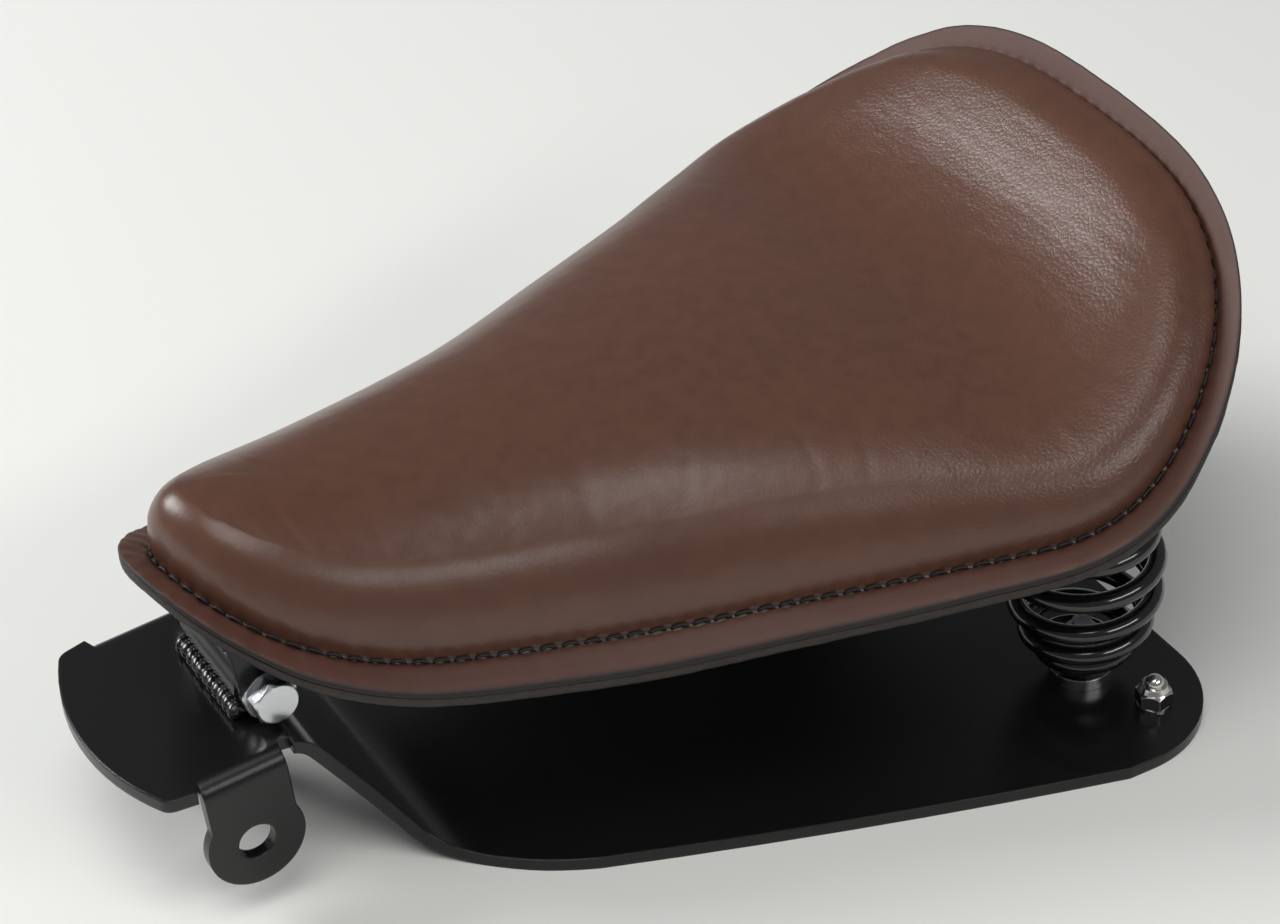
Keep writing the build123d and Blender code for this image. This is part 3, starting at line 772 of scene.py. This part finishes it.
def coil(node):
    """Barrel spring wound to the CAD spring's own height and place."""
    low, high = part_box(node)
    seat_low, seat_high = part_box("spring_lower_seats")
    centre_x = (seat_low.x + seat_high.x) / 2
    centre_y = math.copysign(seat_high.y - (seat_high.x - seat_low.x) / 2, low.y + high.y)
    rise = high.z - low.z - 2 * WIRE_R
    open_pitch = 2 * rise / TURNS - END_PITCH
    path = []
    steps = int(TURNS * STEPS_PER_TURN)
    for i in range(steps + 1):
        turn = TURNS * i / steps
        opened = turn / 2 - TURNS / (4 * math.pi) * math.sin(2 * math.pi * turn / TURNS)
        z = END_PITCH * turn + (open_pitch - END_PITCH) * opened
        r = END_R + SWELL * math.sin(math.pi * turn / TURNS)
        a = 2 * math.pi * turn
        path.append(Vector((centre_x + r * math.cos(a), centre_y + r * math.sin(a), low.z + WIRE_R + z)))
    verts, faces = tube(path, WIRE_R, 20)
    return new_object(node + "_wire", verts, faces, FINISH["spring_coat"])


for node in ("spring_left", "spring_right"):
    wire = coil(node)
    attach(wire, "plate")
    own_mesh(wire)
    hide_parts(node)


# ---------------------------------------------------------------- weld bead
POOLS = 11
STEPS_PER_POOL = 8
BEAD_SIDES = 14
BEAD_R = 2.8                   # in mm, and what the middle of a weld pool adds
POOL_RISE = 0.6


def weld_bead():
    """Rope-like bead of overlapping weld pools along the front of the pivot tube."""
    low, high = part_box("pivot_tube")
    centre_x, centre_z = (low.x + high.x) / 2, (low.z + high.z) / 2
    bead_x = centre_x + (high.x - low.x) / 2 * 0.92
    bead_z = centre_z - (high.z - low.z) / 2 * 0.78
    verts = []
    steps = POOLS * STEPS_PER_POOL
    length = (high.y - low.y) * 1.04
    for i in range(steps + 1):
        u = i / steps
        pool = abs(math.sin(math.pi * u * POOLS))
        r = (BEAD_R + POOL_RISE * pool) * MM * (0.45 if i in (0, steps) else 1.0)
        sway = 0.5 * MM * noise.noise(Vector((u * 9, 0, 0)))
        for k in range(BEAD_SIDES):
            a = 2 * math.pi * k / BEAD_SIDES
            curl = 1.1 * MM * math.cos(a) ** 2
            x = bead_x + sway + r * math.cos(a)
            y = -length / 2 + length * u + curl
            z = bead_z + 0.85 * r * math.sin(a)
            verts.append((x, y, z))
    faces = ring_faces(steps + 1, BEAD_SIDES) + end_caps(steps + 1, BEAD_SIDES)
    bead = new_object("weld_bead", verts, faces, FINISH["weld_coat"])
    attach(bead, "plate")


weld_bead()

# ---------------------------------------------------------------- floor, light, camera
def lay_floor():
    """A plain floor under the seat."""
    size = 6.0
    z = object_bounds()[0][2]
    verts = [(-size, -size, z), (size, -size, z), (size, size, z), (-size, size, z)]
    finish = material("floor", (0.84, 0.85, 0.82), 0.85, spec=0.1)[0]
    obj = new_object("floor", verts, [(0, 1, 2, 3)], finish, smooth=False)


def area(name, place, target, size, power, colour):
    """A rectangular light at a place, turned to a target."""
    light = bpy.data.lights.new(name, "AREA")
    light.shape = "RECTANGLE"
    light.size, light.size_y = size
    light.energy = power
    light.color = colour
    obj = bpy.data.objects.new(name, light)
    obj.location = place
    obj.rotation_euler = (Vector(target) - Vector(place)).to_track_quat("-Z", "Y").to_euler()
    bpy.context.scene.collection.objects.link(obj)


def set_camera():
    """Three-quarter view from above, on the rider's left of the nose."""
    place = Vector((0.2783, 0.7806, 0.6912))
    yaw, pitch, roll = 1.06925, 0.62455, -0.03904
    level = Vector((-math.cos(yaw), -math.sin(yaw), 0))
    ahead = level * math.cos(pitch) + Vector((0, 0, -math.sin(pitch)))
    right = ahead.cross(Vector((0, 0, 1))).normalized()
    up = right.cross(ahead)
    turned_right = right * math.cos(roll) + up * math.sin(roll)
    turned_up = up * math.cos(roll) - right * math.sin(roll)
    turn = Matrix((turned_right, turned_up, -ahead)).transposed().to_4x4()
    data = bpy.data.cameras.new("camera")
    data.lens = 103.5
    data.sensor_width = 36
    data.clip_start, data.clip_end = 0.05, 20
    obj = bpy.data.objects.new("camera", data)
    obj.matrix_world = Matrix.Translation(place) @ turn
    bpy.context.scene.collection.objects.link(obj)
    bpy.context.scene.camera = obj


lay_floor()
set_camera()
area("sheen", (1.15, -1.35, 1.25), (-0.2, 0, 0.08), (0.9, 0.9), 34, (1.0, 1.0, 1.0))
area("overhead", (0.5, 0.5, 2.1), (-0.15, 0, 0.05), (1.3, 1.3), 20, (1.0, 0.99, 0.97))
area("band", (-0.75, 1.7, 1.35), (-0.2, 0, 0.08), (1.5, 0.3), 12, (1.0, 0.98, 0.95))
world = bpy.data.worlds.new("studio")
bpy.context.scene.world = world
world.use_nodes = True
world.node_tree.nodes["Background"].inputs["Color"].default_value = (0.93, 0.95, 1.0, 1)
world.node_tree.nodes["Background"].inputs["Strength"].default_value = 0.2
bpy.context.scene.view_settings.view_transform = "Standard"
